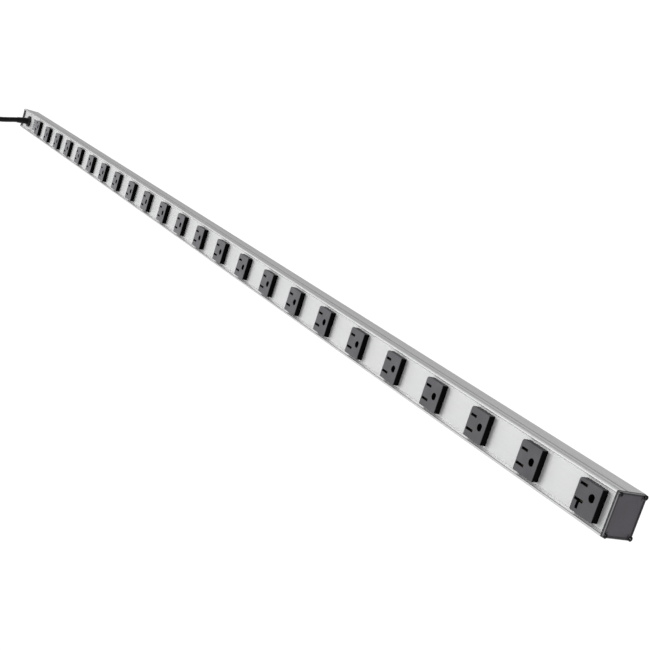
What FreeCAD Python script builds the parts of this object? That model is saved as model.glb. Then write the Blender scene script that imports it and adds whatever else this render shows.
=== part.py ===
"""Rack power strip: an aluminium channel with 24 snap-in receptacles, a cord and its plug.

Frame, in millimetres: +X runs along the strip, away from the cord end; the receptacles face -Y;
+Z is up. The strip lies on its lower long side. The origin is the centre of the box of the strip
without its cord, at the height of the surface that it lies on.

Each body of the strip has its own frame at one cell of the sheet: x along the strip, y the depth
behind the front rims, z the height above the middle of the section.
"""
import FreeCAD, Part
import math
import os
import re
import Sketcher

os.makedirs("parts", exist_ok=True)
doc = FreeCAD.newDocument("RackPowerStrip")
sheet = doc.addObject("Spreadsheet::Sheet", "Sizes")
Vector = FreeCAD.Vector

SIZES = [
    # housing extrusion
    ("overall_length", 1828.8),
    ("housing_width", 36.8),
    ("housing_depth", 29.2),
    ("wall", 1.9),
    ("rim_width", 2.1),
    ("lip_width", 3.4),
    ("lip_depth", 2.4),
    ("edge_chamfer", 0.7),
    ("groove_start", 4.4),
    ("groove_depth", 0.9),
    ("groove_draft", 0.2),
    ("groove_floor", 1.6),
    ("groove_end", 9.9),
    ("score_place", 11.4),
    ("score_size", 0.35),
    ("slot_side_wall", 2.2),
    ("ledge_reach", 4.4),
    ("ledge_thickness", 1.2),
    ("port_inset", 2.0),
    ("port_radius", 0.9),
    ("boss_size", 4.0),
    # front panel
    ("panel_recess", 3.3),
    ("panel_thickness", 1.5),
    ("panel_width", 32.0),
    ("panel_clearance", 0.1),
    ("cutout_length", 24.0),
    ("cutout_height", 25.0),
    ("cord_hole_radius", 8.0),
    ("cord_hole_inset", 45.9),
    # end caps and their screws
    ("cap_thickness", 2.5),
    ("cap_corner", 1.5),
    ("cap_edge_chamfer", 0.6),
    ("cap_border", 1.9),
    ("cap_border_notch", 4.6),
    ("cap_dish", 0.5),
    ("cap_hole_radius", 1.15),
    ("spigot_start", 6.8),
    ("spigot_end", 24.6),
    ("spigot_half_height", 13.4),
    ("spigot_wall", 1.3),
    ("spigot_length", 4.0),
    ("screw_head_radius", 2.0),
    ("screw_head_height", 1.5),
    ("screw_crown", 0.6),
    ("screw_crown_radius", 1.1),
    ("screw_shank_radius", 0.85),
    ("screw_shank_length", 9.0),
    ("screw_slot_length", 2.4),
    ("screw_slot_width", 0.6),
    ("screw_slot_depth", 0.8),
    # receptacles
    ("outlet_count", 24),
    ("outlet_pitch", 72.62),
    ("first_blade_inset", 124.3),
    ("face_length", 25.6),
    ("face_height", 26.6),
    ("face_offset", 6.7),
    ("face_proud", 2.9),
    ("face_thickness", 2.2),
    ("face_key_radius", 2.4),
    ("face_corner_radius", 1.0),
    ("face_edge_radius", 0.4),
    ("shell_length", 23.6),
    ("shell_height", 24.6),
    ("shell_depth", 14.0),
    ("blade_spacing", 12.7),
    ("ground_offset", 11.9),
    ("hot_slot_length", 8.2),
    ("neutral_slot_length", 9.8),
    ("slot_width", 2.4),
    ("tee_width", 3.0),
    ("tee_reach", 6.9),
    ("tee_shift", 3.0),
    ("ground_radius", 3.4),
    ("ground_flat", 2.9),
    ("chamber_wall", 1.2),
    ("latch_reach", 1.1),
    ("latch_height", 7.0),
    ("latch_depth", 3.6),
    ("latch_gap", 0.2),
    ("ground_room_start", 4.6),
    ("ground_room_half", 5.6),
    ("cover_thickness", 1.6),
    # live parts inside
    ("leaf_thickness", 0.5),
    ("blade_gap", 1.6),
    ("pin_gap", 4.7),
    ("leaf_length", 6.4),
    ("leaf_front", 1.0),
    ("leaf_back", 13.0),
    ("tail_width", 3.0),
    ("tail_thickness", 0.8),
    ("tail_shift", 0.8),
    ("tail_clearance", 0.2),
    ("bar_depth", 20.0),
    ("bar_thickness", 1.2),
    ("bar_width", 6.0),
    ("bar_spacing", 7.6),
    ("bar_start_inset", 77.0),
    ("bar_end_inset", 8.0),
    ("liner_thickness", 0.5),
    ("liner_gap", 0.5),
    ("liner_start_inset", 100.0),
    ("bond_length", 8.0),
    ("bond_width", 6.0),
    ("bond_thickness", 0.8),
    ("bond_screw_radius", 1.45),
    ("bond_hole_radius", 1.5),
    ("bond_head_radius", 2.6),
    ("bond_head_height", 1.6),
    ("bond_screw_gap", 0.2),
    ("lead_radius", 1.5),
    ("lead_spacing", 3.3),
    ("lead_start_depth", 12.0),
    ("lead_bend_share", 0.7),
    # label
    ("label_start_inset", 76.0),
    ("label_length", 34.0),
    ("label_height", 24.0),
    ("label_thickness", 0.2),
    # strain relief, cord, hank and plug
    ("cord_diameter", 9.6),
    ("flange_radius", 10.5),
    ("flange_thickness", 4.5),
    ("flange_round", 1.2),
    ("sleeve_radius", 7.7),
    ("sleeve_end", 11.5),
    ("nut_radius", 11.0),
    ("nut_thickness", 4.0),
    ("boot_root_radius", 6.5),
    ("boot_middle_radius", 6.1),
    ("boot_tip_radius", 5.6),
    ("boot_arch", 0.35),
    ("hank_x", -1205.5),
    ("hank_y", -71.5),
    ("hank_straight", 71.0),
    ("hank_outer_radius", 53.2),
    ("hank_bundle", 29.6),
    ("hank_bottom", 1.0),
    ("hank_height", 38.6),
    ("tie_width", 14.0),
    ("tie_thickness", 0.8),
    ("plug_length", 36.0),
    ("plug_width", 32.0),
    ("plug_height", 28.0),
    ("plug_corner", 5.0),
    ("plug_tail_length", 30.0),
    ("plug_tail_root", 11.0),
    ("plug_tail_tip", 6.2),
    ("plug_tail_overlap", 4.0),
    ("plug_front_x", -1231.0),
    ("blade_length", 17.9),
    ("blade_width", 6.35),
    ("blade_thickness", 1.5),
    ("pin_radius", 2.4),
    ("pin_tip_radius", 1.44),
    ("pin_length", 21.0),
    ("plug_blade_drop", 5.0),
    ("plug_pin_rise", 6.9),
]
for row, (alias, number) in enumerate(SIZES, start=1):
    sheet.set(f"A{row}", alias)
    sheet.set(f"B{row}", str(number))
    sheet.setAlias(f"B{row}", alias)
doc.recompute()
ALIASES = sorted((alias for alias, number in SIZES), key=len, reverse=True)
WORD = re.compile(r"\b(" + "|".join(ALIASES) + r")\b")

MIDDLE = "housing_width / 2"
RIM_Y = "-(housing_depth + face_proud) / 2 + face_proud"
HALF = "(overall_length / 2 - cap_thickness)"
CORD_X = f"(cord_hole_inset - {HALF})"


def formula(text):
    """Turns words of the sheet into references to its cells."""
    return WORD.sub(r"Sizes.\1", text)


def size(text):
    """The number that a formula in the sheet's words gives."""
    answer = sheet.evalExpression(WORD.sub(r"\1", text))
    return float(getattr(answer, "Value", answer))


def bind(thing, prop, text):
    thing.setExpression(prop, formula(text))


def place(thing, x="0", y="0", z="0"):
    """Puts an object at a place that follows the sheet."""
    bind(thing, "Placement.Base.x", x)
    bind(thing, "Placement.Base.y", y)
    bind(thing, "Placement.Base.z", z)


def new_body(label, x="0", y=RIM_Y, z=MIDDLE):
    body = doc.addObject("PartDesign::Body", label)
    body.Label = label
    place(body, x, y, z)
    return body


def new_sketch(body, role, offset=None):
    """A sketch on one of the body's own planes, moved along its normal by offset."""
    sketch = body.newObject("Sketcher::SketchObject", "Sketch")
    plane = [item for item in body.Origin.OriginFeatures if item.Role == role][0]
    sketch.AttachmentSupport = [(plane, "")]
    sketch.MapMode = "FlatFace"
    if offset is not None:
        bind(sketch, "AttachmentOffset.Base.z", offset)
    return sketch


def pin_point(sketch, geometry, position, axis, text):
    """Holds one coordinate of a point at a formula."""
    if text == "0":
        line = {"DistanceX": -2, "DistanceY": -1}[axis]
        sketch.addConstraint(Sketcher.Constraint("PointOnObject", geometry, position, line))
        return
    index = sketch.addConstraint(Sketcher.Constraint(axis, geometry, position, size(text)))
    sketch.setExpression(f"Constraints[{index}]", formula(text))


def polygon(sketch, corners):
    """A closed outline through corners, each a pair of formulas."""
    points = [Vector(size(x), size(y), 0) for x, y in corners]
    first = sketch.GeometryCount
    count = len(points)
    for number, point in enumerate(points):
        sketch.addGeometry(Part.LineSegment(point, points[(number + 1) % count]))
    for number, (x, y) in enumerate(corners):
        line = first + number
        following = first + (number + 1) % count
        sketch.addConstraint(Sketcher.Constraint("Coincident", line, 2, following, 1))
        pin_point(sketch, line, 1, "DistanceX", x)
        pin_point(sketch, line, 1, "DistanceY", y)


def rectangle(sketch, x, y, width, height):
    """A rectangle about the centre x, y."""
    left = f"{x} - ({width}) / 2"
    right = f"{x} + ({width}) / 2"
    low = f"{y} - ({height}) / 2"
    high = f"{y} + ({height}) / 2"
    polygon(sketch, [(left, low), (right, low), (right, high), (left, high)])


def circle(sketch, x, y, radius):
    shape = Part.Circle(Vector(size(x), size(y), 0), Vector(0, 0, 1), size(radius))
    index = sketch.addGeometry(shape)
    pin_point(sketch, index, 3, "DistanceX", x)
    pin_point(sketch, index, 3, "DistanceY", y)
    datum = sketch.addConstraint(Sketcher.Constraint("Radius", index, size(radius)))
    sketch.setExpression(f"Constraints[{datum}]", formula(radius))


def extrude(body, kind, sketch, length, backwards=False, symmetric=False):
    """A Pad or a Pocket of a sketch, by a length that follows the sheet."""
    feature = body.newObject(f"PartDesign::{kind}", kind)
    feature.Profile = sketch
    feature.Reversed = backwards
    if symmetric:
        feature.SideType = "Symmetric"
    bind(feature, "Length", length)
    before = body.Shape.Volume if body.Shape.Solids else 0
    doc.recompute()
    change = body.Shape.Volume - before
    if (kind == "Pad") != (change > 0) or change == 0:
        raise ValueError(f"{body.Label}: {feature.Name} changes the volume by {change:.2f}")
    return feature


def round_edges(body, kind, amount, test):
    """A Fillet or a Chamfer on the edges of the body's tip that pass a test."""
    base = body.Tip
    names = []
    for number, edge in enumerate(base.Shape.Edges, start=1):
        if test(edge):
            names.append(f"Edge{number}")
    feature = body.newObject(f"PartDesign::{kind}", kind)
    feature.Base = (base, names)
    bind(feature, "Radius" if kind == "Fillet" else "Size", amount)
    doc.recompute()
    return feature


def runs_along(edge, direction):
    """Whether an edge is a straight one in a direction."""
    if edge.Curve.TypeId != "Part::GeomLine":
        return False
    return abs(edge.tangentAt(edge.FirstParameter).dot(direction)) > 0.999


def add_part(kind, label, sizes, x="0", y="0", z="0"):
    """A Part primitive whose sizes and place follow the sheet."""
    thing = doc.addObject(kind, label)
    thing.Label = label
    for prop, text in sizes.items():
        bind(thing, prop, text)
    place(thing, x, y, z)
    return thing


def housing_channel():
    """Half of the section is drawn above the middle, and the extrusion is mirrored."""
    top = MIDDLE
    body = new_body("housing_channel")
    sketch = new_sketch(body, "YZ_Plane")
    lip = f"{top} - lip_width"
    inner = f"{top} - wall"
    floor = f"{top} - groove_depth"
    slot_back = "panel_recess + panel_thickness + panel_clearance"
    corners = [
        ("0", f"{top} - rim_width"),
        ("0", f"{top} - edge_chamfer"),
        ("edge_chamfer", top),
        ("groove_start", top),
        ("groove_start + groove_draft", floor),
        ("groove_start + groove_floor", floor),
        ("groove_end", top),
        ("score_place - score_size", top),
        ("score_place", f"{top} - score_size"),
        ("score_place + score_size", top),
        ("housing_depth - edge_chamfer", top),
        ("housing_depth", f"{top} - edge_chamfer"),
        ("housing_depth", "0"),
        ("housing_depth - wall", "0"),
        ("housing_depth - wall", f"{top} - boss_size"),
        ("housing_depth - boss_size", f"{top} - boss_size"),
        ("housing_depth - boss_size", inner),
        (f"{slot_back} + ledge_thickness", inner),
        (f"{slot_back} + ledge_thickness", f"{top} - ledge_reach"),
        (slot_back, f"{top} - ledge_reach"),
        (slot_back, f"{top} - slot_side_wall"),
        ("panel_recess", f"{top} - slot_side_wall"),
        ("panel_recess", lip),
        ("lip_depth", lip),
    ]
    polygon(sketch, corners)
    circle(sketch, "port_inset", f"{top} - port_inset", "port_radius")
    circle(sketch, "housing_depth - port_inset", f"{top} - port_inset", "port_radius")
    pad = extrude(body, "Pad", sketch, "overall_length - 2 * cap_thickness", symmetric=True)
    mirror = body.newObject("PartDesign::Mirrored", "Mirrored")
    mirror.Originals = [pad]
    plane = [item for item in body.Origin.OriginFeatures if item.Role == "XY_Plane"][0]
    mirror.MirrorPlane = (plane, [""])
    body.Tip = mirror
    doc.recompute()
    hole = new_sketch(body, "XZ_Plane", "-housing_depth")
    circle(hole, f"bar_start_inset - {HALF} + 1.5 * bond_length", "0", "bond_hole_radius")
    extrude(body, "Pocket", hole, "wall", backwards=True)
    return body


def front_panel():
    body = new_body("front_panel", y=f"{RIM_Y} + panel_recess")
    outline = new_sketch(body, "XZ_Plane")
    rectangle(outline, "0", "0", f"2 * {HALF}", "panel_width")
    extrude(body, "Pad", outline, "panel_thickness", backwards=True)
    cord = new_sketch(body, "XZ_Plane")
    circle(cord, CORD_X, "0", "cord_hole_radius")
    extrude(body, "Pocket", cord, "panel_thickness")
    cutout = new_sketch(body, "XZ_Plane")
    first = f"(first_blade_inset - {HALF} + face_offset)"
    rectangle(cutout, first, "0", "cutout_length", "cutout_height")
    pocket = extrude(body, "Pocket", cutout, "panel_thickness")
    pattern = body.newObject("PartDesign::LinearPattern", "Cutouts")
    pattern.Originals = [pocket]
    pattern.Direction = (cutout, ["H_Axis"])
    bind(pattern, "Length", "outlet_pitch * (outlet_count - 1)")
    bind(pattern, "Occurrences", "outlet_count")
    body.Tip = pattern
    doc.recompute()
    return body


def end_cap(label, side):
    """A plate with a shallow dish outside and a spigot inside; side is +1 or -1 along X."""
    sign = "" if side > 0 else "-1 * "
    outward = side > 0
    body = new_body(label, x=f"{sign}{HALF}")
    middle = "housing_depth / 2"
    plate = new_sketch(body, "YZ_Plane")
    rectangle(plate, middle, "0", "housing_depth", "housing_width")
    extrude(body, "Pad", plate, "cap_thickness", backwards=not outward)
    round_edges(body, "Fillet", "cap_corner", lambda edge: runs_along(edge, Vector(1, 0, 0)))
    face = side * size("cap_thickness")
    at_face = lambda edge: abs(edge.BoundBox.XMin - face) + abs(edge.BoundBox.XMax - face) < 0.01
    round_edges(body, "Chamfer", "cap_edge_chamfer", at_face)
    dish = new_sketch(body, "YZ_Plane", f"{sign}cap_thickness")
    near = "cap_border"
    far = "housing_depth - cap_border"
    near_notch = "cap_border_notch"
    far_notch = "housing_depth - cap_border_notch"
    high = f"{MIDDLE} - cap_border"
    high_notch = f"{MIDDLE} - cap_border_notch"
    upper = [(near, high_notch), (near_notch, high_notch), (near_notch, high)]
    upper += [(far_notch, high), (far_notch, high_notch), (far, high_notch)]
    lower = [(x, f"-({y})") for x, y in reversed(upper)]
    polygon(dish, upper + lower)
    extrude(body, "Pocket", dish, "cap_dish", backwards=not outward)
    spigot = new_sketch(body, "YZ_Plane")
    long_way = "(spigot_start + spigot_end) / 2"
    rectangle(spigot, long_way, "0", "spigot_end - spigot_start", "2 * spigot_half_height")
    inner_depth = "spigot_end - spigot_start - 2 * spigot_wall"
    rectangle(spigot, long_way, "0", inner_depth, "2 * (spigot_half_height - spigot_wall)")
    extrude(body, "Pad", spigot, "spigot_length", backwards=outward)
    holes = new_sketch(body, "YZ_Plane")
    for depth in ("port_inset", "housing_depth - port_inset"):
        for height in (f"{MIDDLE} - port_inset", f"port_inset - {MIDDLE}"):
            circle(holes, depth, height, "cap_hole_radius")
    extrude(body, "Pocket", holes, "cap_thickness", backwards=outward)
    return body


def pan_head_screws(label, side):
    """Four screws, from one turned and cross-slotted screw repeated at the cap's corners."""
    sign = "" if side > 0 else "-1 * "
    x = f"{sign}({HALF} + cap_thickness)"
    body = new_body(label, x=x, y=f"{RIM_Y} + port_inset", z="port_inset")
    profile = new_sketch(body, "XY_Plane")
    shank = f"{sign}(-1 * screw_shank_length)"
    shoulder = f"{sign}(screw_head_height - screw_crown)"
    crown = f"{sign}screw_head_height"
    corners = [
        (shank, "0"),
        (shank, "screw_shank_radius"),
        ("0", "screw_shank_radius"),
        ("0", "screw_head_radius"),
        (shoulder, "screw_head_radius"),
        (crown, "screw_crown_radius"),
        (crown, "0"),
    ]
    polygon(profile, corners)
    turned = body.newObject("PartDesign::Revolution", "Turned")
    turned.Profile = profile
    turned.ReferenceAxis = (profile, ["H_Axis"])
    turned.Angle = 360
    doc.recompute()
    cross = new_sketch(body, "YZ_Plane", crown)
    arm = "screw_slot_length / 2"
    edge = "screw_slot_width / 2"
    quarter = [(edge, edge), (edge, arm), (f"-{edge}", arm), (f"-{edge}", edge)]
    quarter += [(f"-{arm}", edge), (f"-{arm}", f"-{edge}"), (f"-{edge}", f"-{edge}")]
    quarter += [(f"-{edge}", f"-{arm}"), (edge, f"-{arm}"), (edge, f"-{edge}")]
    quarter += [(arm, f"-{edge}"), (arm, edge)]
    polygon(cross, quarter)
    slot = extrude(body, "Pocket", cross, "screw_slot_depth", backwards=side < 0)
    pattern = body.newObject("PartDesign::LinearPattern", "Corners")
    pattern.Originals = [turned, slot]
    pattern.Direction = (cross, ["H_Axis"])
    bind(pattern, "Length", "housing_depth - 2 * port_inset")
    pattern.Occurrences = 2
    pattern.Direction2 = (cross, ["V_Axis"])
    bind(pattern, "Length2", "housing_width - 2 * port_inset")
    pattern.Occurrences2 = 2
    body.Tip = pattern
    doc.recompute()
    return body


def ground_hole(sketch, height):
    """A round hole with a flat on the side away from the blades."""
    radius = size("ground_radius")
    flat = size("ground_flat")
    centre = Vector(size("ground_offset"), size(height), 0)
    half = math.acos(flat / radius)
    round_part = Part.ArcOfCircle(
        Part.Circle(centre, Vector(0, 0, 1), radius), half, 2 * math.pi - half
    )
    arc = sketch.addGeometry(round_part)
    line = sketch.addGeometry(Part.LineSegment(round_part.EndPoint, round_part.StartPoint))
    sketch.addConstraint(Sketcher.Constraint("Coincident", arc, 2, line, 1))
    sketch.addConstraint(Sketcher.Constraint("Coincident", line, 2, arc, 1))
    sketch.addConstraint(Sketcher.Constraint("Vertical", line))
    datum = sketch.addConstraint(Sketcher.Constraint("Radius", arc, radius))
    sketch.setExpression(f"Constraints[{datum}]", formula("ground_radius"))
    pin_point(sketch, arc, 3, "DistanceX", "ground_offset")
    pin_point(sketch, arc, 3, "DistanceY", height)
    pin_point(sketch, line, 1, "DistanceX", "ground_offset + ground_flat")


def outlet(number, tee):
    """A receptacle. Its own x is 0 at the blades; tee marks the T-slot pattern, set higher."""
    x = f"first_blade_inset - {HALF} + outlet_pitch * {number - 1}"
    body = new_body(f"outlet_{number:02d}", x=x)
    block = new_sketch(body, "XZ_Plane", "face_proud")
    rectangle(block, "face_offset", "0", "face_length", "face_height")
    extrude(body, "Pad", block, "face_proud + panel_recess", backwards=True)
    along = lambda edge: runs_along(edge, Vector(0, 1, 0))
    keyed = lambda edge: edge.CenterOfMass.z > 0 and edge.CenterOfMass.x < size("face_offset")
    round_edges(body, "Fillet", "face_key_radius", lambda edge: along(edge) and keyed(edge))
    round_edges(body, "Fillet", "face_corner_radius", lambda edge: along(edge) and not keyed(edge))
    front = -size("face_proud")
    on_face = lambda edge: abs(edge.BoundBox.YMax - front) < 0.01
    round_edges(body, "Fillet", "face_edge_radius", on_face)
    shell = new_sketch(body, "XZ_Plane", "-panel_recess")
    rectangle(shell, "face_offset", "0", "shell_length", "shell_height")
    extrude(body, "Pad", shell, "shell_depth", backwards=True)
    latch = new_sketch(body, "XZ_Plane", "-(panel_recess + panel_thickness + latch_gap)")
    for side in ("-1", "1"):
        middle = f"face_offset + {side} * (shell_length + latch_reach) / 2"
        rectangle(latch, middle, "0", "latch_reach", "latch_height")
    extrude(body, "Pad", latch, "latch_depth", backwards=True)
    shift = "tee_shift" if tee else "0"
    hot = f"{shift} + blade_spacing / 2"
    neutral = f"{shift} - blade_spacing / 2"
    holes = new_sketch(body, "XZ_Plane", "face_proud")
    rectangle(holes, "0", hot, "hot_slot_length", "slot_width")
    if tee:
        wing = "neutral_slot_length / 2"
        stem = "tee_width / 2"
        bar_top = f"{neutral} + slot_width / 2"
        bar_low = f"{neutral} - slot_width / 2"
        foot = f"{neutral} - tee_reach"
        outline = [(f"-{wing}", bar_top), (f"-{wing}", bar_low), (f"-{stem}", bar_low)]
        outline += [(f"-{stem}", foot), (stem, foot), (stem, bar_low)]
        outline += [(wing, bar_low), (wing, bar_top)]
        polygon(holes, outline)
    else:
        rectangle(holes, "0", neutral, "neutral_slot_length", "slot_width")
    ground_hole(holes, shift)
    extrude(body, "Pocket", holes, "face_thickness")
    rooms = new_sketch(body, "XZ_Plane", "-(panel_recess + shell_depth)")
    low = "face_offset - shell_length / 2 + chamber_wall"
    split = "ground_offset - ground_room_start"
    end = "face_offset + shell_length / 2 - chamber_wall"
    top = "shell_height / 2 - chamber_wall"
    under = f"{neutral} + slot_width" if tee else f"{shift} - chamber_wall / 2"
    between = f"{under} + chamber_wall"
    polygon(rooms, [(low, between), (split, between), (split, top), (low, top)])
    polygon(rooms, [(low, f"-({top})"), (split, f"-({top})"), (split, under), (low, under)])
    ground_low = f"{shift} - ground_room_half"
    ground_high = f"{shift} + ground_room_half"
    wall_end = f"{split} + chamber_wall"
    corners = [(wall_end, ground_low), (end, ground_low), (end, ground_high)]
    polygon(rooms, corners + [(wall_end, ground_high)])
    depth = "shell_depth + panel_recess + face_proud - face_thickness"
    extrude(body, "Pocket", rooms, depth, backwards=True)
    return body


def repeated(label, make_one):
    """One solid for each receptacle, as separate solids of one node.

    The live parts sit in local frames that differ between plain and T-slot receptacles, so their
    shapes are computed from the sheet here.
    """
    count = int(size("outlet_count"))
    solids = []
    for number in range(count):
        solid = make_one(number in (0, count - 1))
        x = size(f"first_blade_inset - {HALF} + outlet_pitch * {number}")
        solid.translate(Vector(x, size(RIM_Y), size(MIDDLE)))
        solids.append(solid)
    thing = doc.addObject("Part::Feature", label)
    thing.Label = label
    thing.Shape = Part.makeCompound(solids)
    return thing


def block(low, high):
    """A box between two corners."""
    span = Vector(*high) - Vector(*low)
    return Part.makeBox(span.x, span.y, span.z, Vector(*low))


def spring_contact(u, height, gap, tail_height):
    """Two leaves about a blade or pin, a bridge behind them and a tail to the bus bar."""
    leaf = size("leaf_thickness")
    half = size("leaf_length") / 2
    front = size("leaf_front")
    back = size("leaf_back")
    inner = gap / 2
    outer = inner + leaf
    tail = size("tail_thickness") / 2
    low = min(height - outer, tail_height - tail)
    high = max(height + outer, tail_height + tail)
    wide = size("tail_width") / 2
    upper = block((u - half, front, height + inner), (u + half, back, height + outer))
    lower = block((u - half, front, height - outer), (u + half, back, height - inner))
    bridge = block((u - half, back, low), (u + half, back + leaf, high))
    stem_low = (u - wide, back + leaf, tail_height - tail)
    stem = block(stem_low, (u + wide, size("bar_depth"), tail_height + tail))
    return upper.fuse([lower, bridge, stem]).removeSplitter().Solids[0]


def line_contact(tee):
    shift = size("tee_shift") if tee else 0
    spacing = size("blade_spacing / 2")
    return spring_contact(0, shift + spacing, size("blade_gap"), spacing + size("tail_shift"))


def neutral_contact(tee):
    shift = size("tee_shift") if tee else 0
    spacing = size("blade_spacing / 2")
    return spring_contact(0, shift - spacing, size("blade_gap"), -spacing - size("tail_shift"))


def ground_contact(tee):
    shift = size("tee_shift") if tee else 0
    return spring_contact(size("ground_offset"), shift, size("pin_gap"), size("tail_shift"))


def rear_cover(tee):
    """The plate behind a receptacle's shell, with a hole for each contact's tail."""
    length = size("shell_length") / 2
    height = size("shell_height") / 2
    front = size("panel_recess + shell_depth")
    back = front + size("cover_thickness")
    middle = size("face_offset")
    plate = block((middle - length, front, -height), (middle + length, back, height))
    wide = size("tail_width / 2 + tail_clearance")
    thick = size("tail_thickness / 2 + tail_clearance")
    spacing = size("blade_spacing / 2 + tail_shift")
    for u, v in ((0, spacing), (0, -spacing), (size("ground_offset"), size("tail_shift"))):
        hole = block((u - wide, front, v - thick), (u + wide, back, v + thick))
        plate = plate.cut(hole)
    return plate.Solids[0]


def bus_bar(label, height):
    start = f"bar_start_inset - {HALF}"
    sizes = {
        "Length": f"{HALF} - bar_end_inset - ({start})",
        "Width": "bar_thickness",
        "Height": "bar_width",
    }
    z = f"{MIDDLE} + ({height}) - bar_width / 2"
    return add_part("Part::Box", label, sizes, start, f"{RIM_Y} + bar_depth", z)


def rounded_path(points, share=0.45):
    """Straight runs through points, joined by tangent arcs as large as the runs allow."""
    edges = []
    start = points[0]
    radii = []
    for before, corner, after in zip(points, points[1:], points[2:]):
        back = (before - corner).normalize()
        ahead = (after - corner).normalize()
        turn = math.pi - back.getAngle(ahead)
        reach = share * min(before.distanceToPoint(corner), corner.distanceToPoint(after))
        radius = reach / math.tan(turn / 2)
        arc_start = corner + back * reach
        arc_end = corner + ahead * reach
        centre = corner + (back + ahead).normalize() * (radius / math.cos(turn / 2))
        middle = centre + (corner - centre).normalize() * radius
        edges.append(Part.LineSegment(start, arc_start).toShape())
        edges.append(Part.Arc(arc_start, middle, arc_end).toShape())
        start = arc_end
        radii.append(round(radius, 1))
    edges.append(Part.LineSegment(start, points[-1]).toShape())
    return Part.Wire(edges), radii


def tube(label, points, radius):
    """A round tube along rounded_path, whose volume is compared with section times length."""
    path, radii = rounded_path(points)
    section = Part.Circle(points[0], points[1] - points[0], radius).toShape()
    solid = path.makePipeShell([Part.Wire([section])], True, True)
    expected = math.pi * radius**2 * path.Length
    print(f"{label}: {path.Length:.1f} mm long, radii {radii}")
    print(f"{label}: volume {solid.Volume:.0f} mm3, section times length {expected:.0f} mm3")
    if abs(solid.Volume / expected - 1) > 0.02:
        raise ValueError(f"{label}: its volume is wrong")
    thing = doc.addObject("Part::Feature", label)
    thing.Label = label
    thing.Shape = solid
    return thing


def inner_lead(label, start_height, bar_height):
    """A wire from the end of the cord's jacket to the end of a bus bar.

    It turns along the strip, and turns again where its bar is higher or lower than its start.
    """
    x = size(CORD_X)
    rim = size(RIM_Y)
    middle = size(MIDDLE)
    depth = rim + size("bar_depth + bar_thickness / 2")
    bar_x = size(f"bar_start_inset - {HALF}")
    start = Vector(x, rim + size("lead_start_depth"), middle + start_height)
    points = [start, Vector(x, depth, middle + start_height)]
    if bar_height != start_height:
        bend_x = x + size("lead_bend_share") * (bar_x - x)
        points.append(Vector(bend_x, depth, middle + bar_height))
    points.append(Vector(bar_x, depth, middle + bar_height))
    return tube(label, points, size("lead_radius"))


def strain_relief_bushing():
    """A flanged bushing, turned about the cord's axis."""
    body = new_body("strain_relief_bushing", x=CORD_X, y=f"{RIM_Y} + panel_recess")
    profile = new_sketch(body, "XY_Plane")
    bore = "cord_diameter / 2"
    front = "-1 * flange_thickness"
    corners = [
        (bore, front),
        ("flange_radius - flange_round", front),
        ("flange_radius", f"{front} + flange_round"),
        ("flange_radius", "0"),
        ("sleeve_radius", "0"),
        ("sleeve_radius", "sleeve_end - panel_recess"),
        (bore, "sleeve_end - panel_recess"),
    ]
    polygon(profile, corners)
    turned = body.newObject("PartDesign::Revolution", "Turned")
    turned.Profile = profile
    turned.ReferenceAxis = (profile, ["V_Axis"])
    turned.Angle = 360
    doc.recompute()
    return body


def strain_relief_nut():
    body = new_body("strain_relief_nut", x=CORD_X, y=f"{RIM_Y} + panel_recess + panel_thickness")
    sketch = new_sketch(body, "XZ_Plane")
    corners = []
    for number in range(6):
        angle = 60 * number
        corners.append((f"nut_radius * cos({angle} deg)", f"nut_radius * sin({angle} deg)"))
    polygon(sketch, corners)
    circle(sketch, "0", "0", "sleeve_radius")
    extrude(body, "Pad", sketch, "nut_thickness", backwards=True)
    return body


EXIT = Vector(size(CORD_X), size(f"{RIM_Y} + panel_recess - flange_thickness"), size(MIDDLE))
BOOT_TIP = Vector(size(CORD_X), -33.9, 16.0)
CORD_ROUTE = [
    BOOT_TIP,
    Vector(-866.2, -50.0, 11.6),
    Vector(-866.8, -66.5, 7.4),
    Vector(-873.9, -88.4, 4.9),
    Vector(-889.6, -106.5, 4.9),
    Vector(-912.1, -117.5, 4.9),
    Vector(-938.8, -121.3, 4.9),
    Vector(-984.8, -121.9, 4.9),
    Vector(-1044.0, -121.5, 4.9),
    Vector(-1102.0, -120.6, 5.1),
    Vector(-1151.0, -119.9, 5.8),
]


def cord_boot():
    """A tapered sleeve that droops with the cord, lofted through three circles."""
    ahead = (CORD_ROUTE[1] - CORD_ROUTE[0]).normalize()
    straight = Vector(0, -1, 0)
    middle = (EXIT + BOOT_TIP) * 0.5 + Vector(0, 0, size("boot_arch"))
    stations = [
        (EXIT, straight, size("boot_root_radius")),
        (middle, (straight * 2 + ahead).normalize(), size("boot_middle_radius")),
        (BOOT_TIP, ahead, size("boot_tip_radius")),
    ]
    wires = [Part.Wire([Part.Circle(c, n, r).toShape()]) for c, n, r in stations]
    thing = doc.addObject("Part::Feature", "cord_boot")
    thing.Label = "cord_boot"
    thing.Shape = Part.makeLoft(wires, True)
    return thing


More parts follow.
